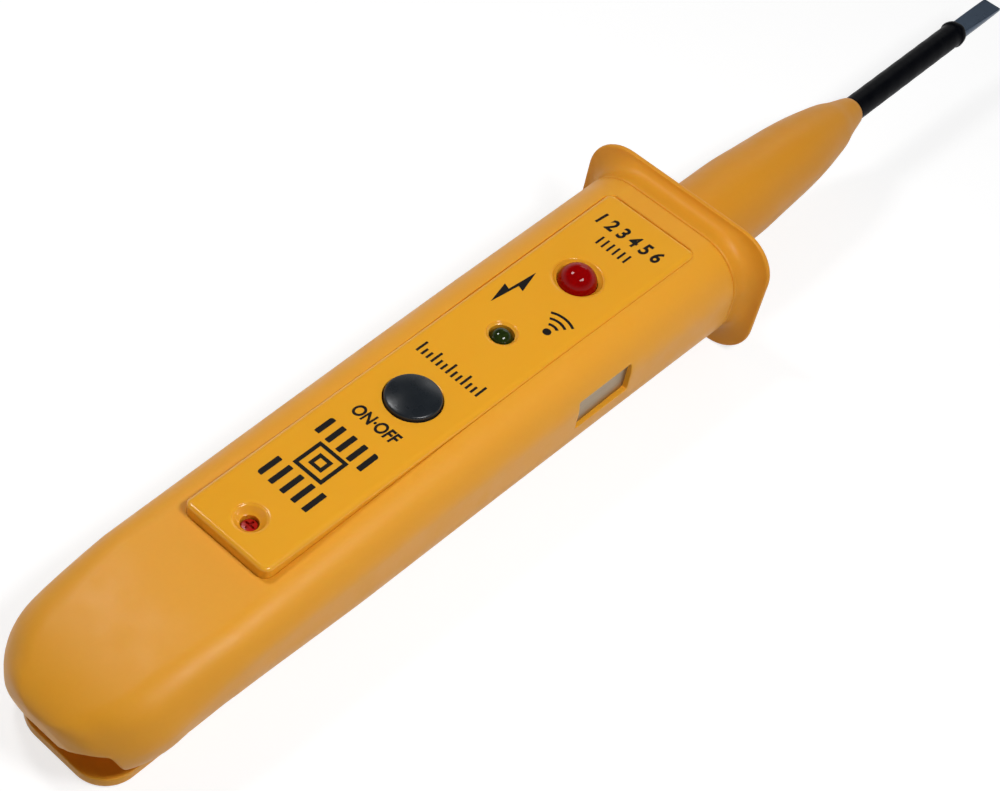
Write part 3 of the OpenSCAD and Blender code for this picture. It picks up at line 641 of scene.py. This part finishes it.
def byAngle(outline):
    # the same outline with its points at equal angles seen from the blade's axis
    found = sorted(((atan2(z - axisLevel, y) % (2 * pi), y, z) for y, z in outline), key=lambda item: item[0])
    found = [(found[-1][0] - 2 * pi, *found[-1][1:])] + found + [(found[0][0] + 2 * pi, *found[0][1:])]
    points, k = [], 0
    for i in range(guard["points"]):
        angle = 2 * pi * i / guard["points"]
        while found[k + 1][0] < angle:
            k += 1
        (y0, z0), (y1, z1) = found[k][1:], found[k + 1][1:]
        # crossing of the ray with the chord between two neighbours
        dy, dz, uy, uz = y1 - y0, z1 - z0, cos(angle), sin(angle)
        across = uy * dz - uz * dy
        share = ((z0 - axisLevel) * uy - y0 * uz) / -across if abs(across) > 1e-12 else 0
        share = min(1, max(0, share))
        points.append((y0 + dy * share, z0 + dz * share))
    return points


def guardRing(x, t, inset=0.0):
    # t leads from the seam's section to the rim's
    half = between(handle["seamWidth"] / 2, guard["rimWidth"] / 2, t) - inset
    top = between(face - handle["lip"], face + guard["over"], t) - inset
    low = handle["under"] - guard["drop"] * t + inset
    upper = between(handle["seamRadius"], guard["rimRadius"], t)
    lower = between(handle["lowRadius"], guard["rimRadius"], t)
    outline = roundOutline(half, -half, top, low, (upper, upper, lower, lower), 24, 12)
    return ringAt(x, byAngle(outline))


def axisRing(x, radius):
    angles = [2 * pi * i / guard["points"] for i in range(guard["points"])]
    return ringAt(x, [(radius * cos(angle), axisLevel + radius * sin(angle)) for angle in angles])


def spigotRing(x, inset):
    play, radius = guard["spigotPlay"] + inset, cavity["radius"] - inset
    half = cavity["width"] / 2 - play
    outline = roundOutline(half, -half, cavity["top"] - play, cavity["floor"] + play, (radius,) * 4, 12, 8)
    return ringAt(x, byAngle(outline))


rings = []
for turn in (0, 30, 60, 90):  # rounded edge at the seam
    rings.append(guardRing(seam + guard["edge"] * pull(turn), 0, guard["edge"] * sink(turn)))
for i in range(1, 17):  # hollow flare
    turn = 90 * i / 16
    rings.append(guardRing(seam + between(guard["edge"], guard["flare"], sin(radians(turn))),
                           pull(turn) ** guard["bend"] * guard["flareShare"]))
for i in range(1, 6):  # rim, rounded towards the handle and more towards the tip
    turn = 90 * i / 5
    rings.append(guardRing(seam + guard["flare"] + guard["backRound"] * pull(turn),
                           between(guard["flareShare"], 1, sin(radians(turn)))))
for turn in range(15, 91, 15):
    rings.append(guardRing(noseStart - guard["frontRound"] * sink(turn), 1, guard["frontDrop"] * pull(turn)))
frontEdge = rings[-1]
noseRadius, rootLength, rootHeight = guard["noseRadius"], guard["rootLength"], guard["rootHeight"]
for share in (0.12, 0.3, 0.5, 0.7, 0.88, 1):  # front face, drawn in to the nose's root
    rings.append([a.lerp(b, share) for a, b in zip(frontEdge, axisRing(noseStart, noseRadius + rootHeight))])
for turn in range(9, 91, 9):  # hollow fillet at the root
    rings.append(axisRing(noseStart + rootLength * pull(turn), noseRadius + rootHeight * sink(turn)))
for i in range(1, guard["noseSteps"] + 1):
    share = between(rootLength / guard["noseLength"], 0.996, i / guard["noseSteps"])
    rings.append(axisRing(noseStart + guard["noseLength"] * share, noseRadius * smoothTable(noseTable, share)))
mouthRadius = noseRadius * noseTable[-1][1]
sleeve = {"radius": 1.85, "bore": 1.53, "end": 178.5, "seat": 6.0, "roll": 1.2, "rollHeight": 0.25}
sleeveStart, bladeBack = noseEnd - sleeve["seat"], noseStart + guard["bladeBack"]
seatRadius = sleeve["radius"] + 0.02
# round the nose's mouth, back along the sleeve's seat and the blade's bore to the chamber in the spigot
rings += [axisRing(x, radius) for x, radius in (
    (noseEnd - 0.06, mouthRadius - 0.01), (noseEnd, mouthRadius - 0.07), (noseEnd, sleeve["radius"] + 0.06),
    (noseEnd - 0.08, seatRadius), (sleeveStart, seatRadius), (sleeveStart + 0.001, sleeve["bore"]),
    (bladeBack, sleeve["bore"]), (bladeBack - 0.001, guard["chamber"]), (seam + 1.2, guard["chamber"]))]
rings += [spigotRing(seam + x, inset) for x, inset in (
    (0.6, guard["spigotWall"]), (-guard["spigot"], guard["spigotWall"]), (-guard["spigot"], 0), (0, 0))]
finishPiece(asObject(loft(rings, join=True)), "guardNose", shadedGuardAbs, ["guard_nose"],
            weighted=False)

stage("battery cover")

cover = {"start": 1.55, "end": 34.7, "width": 17.4, "radius": 4.2, "leftCorner": (9.0, 6.8), "low": 2.8,
         "top": 4.3, "slant": 22, "land": 0.3, "lowRound": 0.4, "topRound": 0.15, "tongue": 1.6,
         "tongueWidth": 8, "tabStart": 3, "tabEnd": 3.8, "tabWidth": 4, "rise": 1}


def coverRing(z, inset):
    end = cover["end"] - max(0, cover["top"] - cover["land"] - z) * tan(radians(cover["slant"])) - inset
    half, radius = cover["width"] / 2 - inset, cover["radius"] - inset
    leftTop = [size - inset for size in cover["leftCorner"]]
    outline = roundOutline(end, cover["start"] + inset, half, -half, (radius,) * 4, 14, 6, leftTop)
    return [Vector((x, y, z)) for x, y in outline]


coverRings = [coverRing(cover["low"] + cover["lowRound"] * sink(t), cover["lowRound"] * pull(t))
              for t in range(90, -1, -15)]
coverRings += [coverRing(cover["top"] - cover["topRound"] * sink(t), cover["topRound"] * pull(t))
               for t in range(0, 91, 22)]
coverPiece = asObject(loft(coverRings))
root, crest = cover["top"] - 0.2, cover["top"] + cover["rise"]
combine(coverPiece, [
    middleBox(cover["end"] - 4, cover["end"] + cover["tongue"], cover["tongueWidth"], root, crest, bevel=0.2),
    middleBox(cover["tabStart"], cover["tabEnd"], cover["tabWidth"], root, crest, bevel=0.15)], "UNION")
finishPiece(coverPiece, "batteryCover", bodyAbs, ["battery_cover"], body="battery_cover")

stage("blade and sleeve")

blade = {"radius": 1.5, "back": 120.1, "end": 189.3, "grind": 20.5, "tip": 0.5, "edge": 0.06}
bm = bmesh.new()
place = Matrix.Translation(((blade["end"] + blade["back"]) / 2, 0, axisLevel)) @ Matrix.Rotation(pi / 2, 4, "Y")
bmesh.ops.create_cone(bm, cap_ends=True, segments=64, radius1=blade["radius"], radius2=blade["radius"],
                      depth=blade["end"] - blade["back"], matrix=place)
slope = atan2(blade["radius"] - blade["tip"] / 2, blade["grind"])
for side in (-1, 1):  # the two ground flats
    made = bmesh.ops.bisect_plane(bm, geom=bm.verts[:] + bm.edges[:] + bm.faces[:], clear_outer=True,
                                  plane_co=(blade["end"], 0, axisLevel + side * blade["tip"] / 2),
                                  plane_no=(sin(slope), 0, side * cos(slope)))
    rim = [g for g in made["geom_cut"] if isinstance(g, bmesh.types.BMEdge)]
    bmesh.ops.contextual_create(bm, geom=rim)
faceOut(bm)
roundEdges(bm, [e for e in bm.edges if e.calc_face_angle(0) > radians(25)], blade["edge"])
finishPiece(asObject(bm), "bladeSteel", bladeSteel, ["blade"])

rollStart = sleeve["end"] - sleeve["roll"] - 0.1
straightEnd = rollStart - 0.15
tube = [(sleeve["bore"], sleeveStart), (sleeve["radius"], sleeveStart)]
tube += [(sleeve["radius"], between(noseEnd, straightEnd, i / 40)) for i in range(41)]
for i in range(1, 13):  # rolled end, fuller in its middle
    turn = pi * i / 12
    fullness = sleeve["rollHeight"] * sin(turn) * (0.85 + 0.15 * cos(turn))
    tube.append((sleeve["radius"] + fullness - 0.14 * (i / 12) ** 3,
                 rollStart + (sleeve["roll"] + 0.1) * (1 - cos(turn)) / 2))
tube += [(sleeve["bore"] + 0.05, sleeve["end"]), (sleeve["bore"], sleeve["end"] - 0.1)]
bm = spinProfile(tube, (0, 0, axisLevel), "X", 64, join=True)
for vert in bm.verts:  # the tube has shrunk on unevenly, most at its rolled end
    x, y, rise = vert.co.x, vert.co.y, vert.co.z - axisLevel
    around = atan2(rise, y)
    if hypot(y, rise) > sleeve["bore"] + 0.1 and x > noseEnd:
        near = max(0, 1 - (sleeve["end"] - x) / 2.2)
        push = 0.012 * sin(x * 1.7 + 2 * around) + near * (0.05 * sin(3 * around + 1) + 0.03 * sin(7 * around))
        vert.co.y += cos(around) * push
        vert.co.z += sin(around) * push
finishPiece(asObject(bm), "bladeSleeve", sleevePolymer, ["blade_sleeve"], weighted=False)

stage("controls")

key = {"radius": 3.45, "edge": 0.5, "crown": 0.5, "round": 0.35, "flange": 0.7, "flangeHeight": 0.8,
       "play": 0.05}
flangeTop, flangeRadius = face - plate["thickness"] - key["play"], key["radius"] + key["flange"]
flangeFoot, topLevel = flangeTop - key["flangeHeight"], face + key["edge"]
profile = [(0, flangeFoot), (flangeRadius, flangeFoot), (flangeRadius, flangeTop), (key["radius"], flangeTop)]
for i in range(7):  # skirt into crown
    turn = 75 * i / 6
    profile.append((key["radius"] - key["round"] * pull(turn), topLevel - key["round"] * sink(turn) + 0.02))
edgeRadius, edgeLevel = profile[-1]
summit = topLevel + key["crown"]
profile += [(edgeRadius * (1 - i / 12), between(summit, edgeLevel, (1 - i / 12) ** 2)) for i in range(1, 13)]
finishPiece(asObject(spinProfile(profile, (controls["button"], 0, 0), "Z")), "buttonCap", keyRubber,
            ["button_cap"], body="power_button", weighted=False)


def lamp(x, radius, flange, top, height, steps):
    # a domed lamp with its flange, which is 1 mm high, its upper edge broken
    low = top - height
    profile = [(0, low), (flange, low), (flange, low + 0.9), (flange - 0.1, low + 1), (radius, low + 1)]
    profile += cornerArc(0, top - radius, radius, radius, 0, 15)
    return asObject(spinProfile(profile, (x, 0, 0), "Z", steps))


finishPiece(lamp(controls["red"], 2.55, 2.9, face + 1.6, 8.6, 96), "redLamp", redEpoxy,
            ["red_led"], weighted=False)
finishPiece(lamp(controls["green"], 1.5, 1.7, face + 0.3, 5.3, 72), "greenLamp", greenEpoxy,
            ["green_led"], weighted=False)

# a small screw; its profile as (radius, depth under its top) pairs, its cross as half length and half width
screw = {"top": face - 1.3, "cross": (0.66, 0.15), "recess": 0.35, "profile": [
    (0, 5.3), (0.7, 5.3), (0.7, 0.7), (1, 0.7), (1, 0.25), (0.85, 0.08), (0.5, 0), (0, 0)]}
profile = [(radius, screw["top"] - depth) for radius, depth in screw["profile"]]
screwPiece = asObject(spinProfile(profile, (controls["screw"], 0, 0), "Z", 48))
combine(screwPiece, [middleBox(controls["screw"] - a, controls["screw"] + a, 2 * b,
                               screw["top"] - screw["recess"], screw["top"] + 0.3)
                     for a, b in (screw["cross"], screw["cross"][::-1])])
finishPiece(screwPiece, "housingScrew", screwLacquer, ["housing_screw"])

stage("touch plate")

touchPiece = asObject(sideBox(window["plateLength"], window["plateHeight"], -touchOuter,
                              -touchOuter + window["plateThickness"], 0.06))
# its arm to the board
combine(touchPiece, [boxMesh((window["x"] - 1.5, -touchOuter + 0.1, bay["top"] - 0.3),
                             (window["x"] + 1.5, -4.2, bay["top"] + 0.1), 0.05)], "UNION")
finishPiece(touchPiece, "touchPlate", platedBrass, ["touch_plate"])

stage("printing")

ink = {"thickness": 0.025, "sunk": 0.01, "stroke": 0.03}
inkParts = []


def printShape(outline):
    bm = bmesh.new()
    verts = [bm.verts.new((x, y, face - ink["sunk"])) for x, y in outline]
    made = bmesh.ops.extrude_face_region(bm, geom=[bm.faces.new(verts)])
    bmesh.ops.translate(bm, verts=[g for g in made["geom"] if isinstance(g, bmesh.types.BMVert)],
                        vec=(0, 0, ink["thickness"]))
    faceOut(bm)
    inkParts.append(asObject(bm))


def printBar(x0, x1, y, width, radii=(0.05,) * 4):
    # a bar with a radius for each of its four corners, from the front left on
    points = []
    places = [(x1, y + width / 2, -1, -1, 0), (x0, y + width / 2, 1, -1, 90),
              (x0, y - width / 2, 1, 1, 180), (x1, y - width / 2, -1, 1, 270)]
    for (x, z, sx, sz, start), radius in zip(places, radii):
        points += cornerArc(x + sx * radius, z + sz * radius, radius, radius, start, 6)
    printShape(points)


bars = {"rear": (34.4, 37.7), "front": (43.3, 46.15), "places": (3.75, 2.05, 0.3, -1.4, -3.1), "width": 0.74,
        "lean": 0.09}
small, big = 0.1, 0.5 * bars["width"]
for count, y in enumerate(bars["places"]):
    # the outermost bars have one round corner each
    rearRadii = [small, big if count == 0 else small, small, small]
    frontRadii = [big if count == 0 else small, small, small, big if count == 4 else small]
    lean = bars["lean"] * count
    printBar(*bars["rear"], y, bars["width"], rearRadii)
    printBar(bars["front"][0] - lean, bars["front"][1] - lean * 0.4, y, bars["width"], frontRadii)


def printText(text, x, y, height, width, turn, lean=0.0):
    # default face, its width and height set to the measured letters
    curve = bpy.data.curves.new("letters", "FONT")
    curve.body, curve.align_x, curve.align_y, curve.extrude, curve.shear = text, "CENTER", "CENTER", 0.5, lean
    curve.offset = ink["stroke"]
    holder = bpy.data.objects.new("letters", curve)
    mesh = bpy.data.meshes.new_from_object(holder)
    bpy.data.objects.remove(holder)
    low = Vector([min(v.co[k] for v in mesh.vertices) for k in range(3)])
    high = Vector([max(v.co[k] for v in mesh.vertices) for k in range(3)])
    size = high - low
    place = Matrix.Translation((x, y, face - ink["sunk"] + ink["thickness"] / 2))
    place = place @ Matrix.Rotation(radians(turn), 4, "Z") @ Matrix.Diagonal(
        (width / size.x, height / size.y, ink["thickness"] / size.z, 1)) @ Matrix.Translation(-(low + high) / 2)
    mesh.transform(place)
    bm = bmesh.new()
    bm.from_mesh(mesh)
    weld(bm, 0.002)
    faceOut(bm)
    inkParts.append(asObject(bm))


printText("ON·OFF", 49.2, 0.1, 1.85, 6.7, -90, 0.1)
printText("1 2 3 4 5 6", 95.55, 0.1, 2.4, 9.9, -90, 0.1)

# two square frames, one in the other, of four bars each
frames = {"x": 40.5, "y": 0.3, "sizes": (4.4, 2.0), "width": 0.5}
for size in frames["sizes"]:
    width, reach = frames["width"], (size - frames["width"]) / 2
    for dx, dy, lx, ly in ((0, 1, size, width), (0, -1, size, width), (1, 0, width, size - 2 * width),
                           (-1, 0, width, size - 2 * width)):
        x = frames["x"] + dx * reach
        printBar(x - lx / 2, x + lx / 2, frames["y"] + dy * reach, ly, [0.03] * 4)

# ticks of a plain scale beside the button, every third one long
for i in range(13):
    printBar(60.9, 62.9 if i % 3 == 0 else 62.1, 4.8 - 9.3 * i / 12, 0.32)

# ticks under the row of numbers
for i in range(6):
    printBar(91.4, 93.1, 2.4 - 4.4 * i / 5, 0.3)

# a bolt beside the lamps on the left, a sounding dot with its three arcs on the right
printShape([(73.6, 4.35), (77.2, 5.2), (76.9, 4.3), (81.6, 3.9), (77.9, 2.9), (78.2, 3.8)])
dot = {"x": 75.1, "y": -3.4, "radius": 0.55, "arcs": (1.5, 2.5, 3.5), "width": 0.38, "half": 32}
printShape(cornerArc(dot["x"], dot["y"], dot["radius"], dot["radius"], 0, 20, 360)[:-1])
for far in dot["arcs"]:
    near = far - dot["width"]
    printShape(cornerArc(dot["x"], dot["y"], far, far, -dot["half"], 14, 2 * dot["half"])
               + cornerArc(dot["x"], dot["y"], near, near, dot["half"], 14, -2 * dot["half"]))

finishPiece(joined(inkParts), "facePrint", printInk, weighted=False)

stage("battery bay")

cells = {"places": (11.3, 23.5), "radius": 5.8, "capRadius": 4.6, "capHeight": 0.6, "footRound": 0.35,
         "capRound": 0.3}
strips = {"width": 2.4, "pad": 1.0, "across": 2.2, "thickness": 0.3}


def cadBox(node):
    # a CAD node's two corners in millimetres from the butt
    return [toFrame.inverted() @ Vector(corner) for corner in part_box(node)]


low, high = cadBox("button_cells")
wide, cap, foot, shoulder = cells["radius"], cells["capRadius"], cells["footRound"], high.z - cells["capHeight"]
# from the rounded foot up the wall, over the crimped rim and its groove to the cap and its faint dish
profile = [(0, low.z), (wide - foot - 0.15, low.z)]
profile += [(wide - foot * sink(t), low.z + foot * pull(t)) for t in range(15, 91, 15)]
profile += [(wide, shoulder - 0.4), (wide - 0.08, shoulder - 0.16), (wide - 0.3, shoulder - 0.03),
            (wide - 0.55, shoulder), (wide - 0.72, shoulder - 0.1), (cap + 0.22, shoulder - 0.16),
            (cap + 0.05, shoulder - 0.05)]
profile += [(cap - cells["capRound"] * pull(t), high.z - cells["capRound"] * sink(t)) for t in range(0, 91, 15)]
profile += [(cap - 0.9, high.z), (cap - 1.0, high.z - 0.04), (0, high.z - 0.04)]
shells = [asObject(spinProfile(profile, (x, 0, 0), "Z", 72)) for x in cells["places"]]
finishPiece(joined(shells), "buttonCells", cellSteel, ["button_cells"])


def pad(x, y, base, tip):
    # a pressed dimple from its base to its tip
    shares = ((0, 0), (1, 0), (0.92, 0.35), (0.72, 0.72), (0.42, 0.94), (0, 1))
    profile = [(strips["pad"] * wide, between(base, tip, rise)) for wide, rise in shares]
    return spinProfile(profile, (x, y, 0), "Z", 32)


low, high = cadBox("cover_bridge")
bridge = asObject(boxMesh(low, (high.x, high.y, low.z + strips["thickness"]), vertical=0.7))
combine(bridge, [pad(x, 0, low.z + strips["thickness"] / 2, high.z) for x in cells["places"]], "UNION")
finishPiece(bridge, "coverBridge", platedBrass, ["cover_bridge"], body="battery_cover")

low, high = cadBox("battery_contacts")
stripLow, half, halves = high.z - strips["thickness"], strips["width"] / 2, []
for x, y in zip(cells["places"], (-strips["across"], strips["across"])):
    strip = asObject(boxMesh((x - half, y - half, stripLow), (high.x, y + half, high.z), vertical=0.5))
    halves.append(combine(strip, [pad(x, y, stripLow + strips["thickness"] / 2, low.z)], "UNION"))
finishPiece(joined(halves), "batteryContacts", platedBrass, ["battery_contacts"])

stage("inner pieces")

dressed = {
    platedBrass: ["blade_retainer", "board_screws", "contact_spring", "front_contact"],
    tinnedWire: ["switch_pins", "red_led_leads", "green_led_leads", "ic_legs", "transistor_legs"],
    boardLaminate: ["circuit_board"], chipEpoxy: ["detector_ic", "transistor"],
    switchNylon: ["switch_body"], plungerAcetal: ["switch_plunger"], capacitorVinyl: ["capacitor"],
    resistorLacquer: ["resistors", "safety_resistor"], diodeGlass: ["diodes"]}
for material, names in dressed.items():
    for name in names:
        for slot in nodes[name].material_slots:
            slot.material = material

stage("floor, light and camera")

room = {"floor": "A8A8A8", "floorSize": 4, "buttRest": (-0.0931, 0.0028), "rimRest": (0.0117, 0.0),
        "floorGlow": 0.74, "horizon": 0.85, "zenith": 0.04, "horizonTop": 0.12, "zenithFrom": 0.5}
white = (1, 1, 1, 1)


def larger(tree, first, second):
    return addNode(tree, "Math", {"operation": "MAXIMUM"}, {0: first, 1: second}).outputs[0]


bm = bmesh.new()
bmesh.ops.create_grid(bm, x_segments=1, y_segments=1, size=room["floorSize"] / 2)
(buttX, buttZ), (rimX, rimZ) = room["buttRest"], room["rimRest"]
tilt = Matrix.Rotation(atan2(buttZ - rimZ, rimX - buttX), 4, "Y")
bmesh.ops.transform(bm, verts=bm.verts, matrix=Matrix.Translation((rimX, 0, rimZ)) @ tilt)
floor = asObject(bm, "floor")
# white board that keeps a soft shadow: part paint, part glow for camera, glossy and transmission rays
floorPaint, tree, shader, place = startMaterial("paintedBoard", {
    "Roughness": 0.8, "Base Color": hexColour(room["floor"])})
path = addNode(tree, "LightPath").outputs
seen = larger(tree, larger(tree, path["Is Camera Ray"], path["Is Glossy Ray"]), path["Is Transmission Ray"])
lift = addNode(tree, "Math", {"operation": "MULTIPLY", 1: room["floorGlow"]}, {0: seen}).outputs[0]
glow = addNode(tree, "Emission", {"Color": white}, {"Strength": lift})
both = addNode(tree, "AddShader", None, {0: shader.outputs[0], 1: glow.outputs[0]})
# clear from below, so that the underside and the opened cover can be seen
under = addNode(tree, "NewGeometry").outputs["Backfacing"]
clear = addNode(tree, "BsdfTransparent", {"Color": white})
oneSided = addNode(tree, "MixShader", None, {0: under, 1: both.outputs[0], 2: clear.outputs[0]})
output = next(n for n in tree.nodes if n.type == "OUTPUT_MATERIAL")
tree.links.new(oneSided.outputs[0], output.inputs["Surface"])
floor.data.materials.append(floorPaint)

world = bpy.data.worlds.new("studio")
bpy.context.scene.world = world
world.use_nodes = True
tree = world.node_tree
tree.nodes.clear()
# white backdrop round the horizon, dim ceiling above
direction = addNode(tree, "TexCoord").outputs["Generated"]
height = addNode(tree, "SeparateXYZ", None, {0: direction}).outputs["Z"]
strength = ranged(tree, height, room["horizonTop"], room["zenithFrom"], room["horizon"], room["zenith"])
backdrop = larger(tree, strength, addNode(tree, "LightPath").outputs["Is Camera Ray"])
sky = addNode(tree, "Background", {"Color": white}, {"Strength": backdrop})
output = addNode(tree, "OutputWorld")
tree.links.new(sky.outputs[0], output.inputs["Surface"])


def softbox(name, place, target, size, power):
    lamp = bpy.data.lights.new(name, "AREA")
    lamp.shape, lamp.size, lamp.size_y, lamp.energy = "RECTANGLE", size[0], size[1], power
    holder = hold(name, lamp)
    holder.location = place
    holder.rotation_euler = (Vector(target) - Vector(place)).to_track_quat("-Z", "Y").to_euler()


# two small lamps over the handle, as the two highlights on the red lamp show, and a weak one in front
softbox("leftBox", (-0.053, 0.137, 0.235), (-0.03, 0, 0.015), (0.05, 0.05), 0.22)
softbox("rightBox", (-0.037, -0.10, 0.175), (-0.02, 0, 0.01), (0.065, 0.035), 0.21)
softbox("frontBox", (0.20, 0.07, 0.13), (-0.03, 0, 0.01), (0.10, 0.06), 0.030)

camera = bpy.data.cameras.new("camera")
camera.lens, camera.sensor_width, camera.sensor_fit = 73.548, 36, "HORIZONTAL"
camera.clip_start, camera.clip_end = 0.01, 20
cameraObject = hold("camera", camera)
cameraObject.location = (-0.16654, -0.08729, 0.19353)
cameraObject.rotation_euler = [radians(a) for a in (41.116, -9.276, -48.606)]
bpy.context.scene.camera = cameraObject
bpy.context.scene.view_settings.view_transform = "Standard"
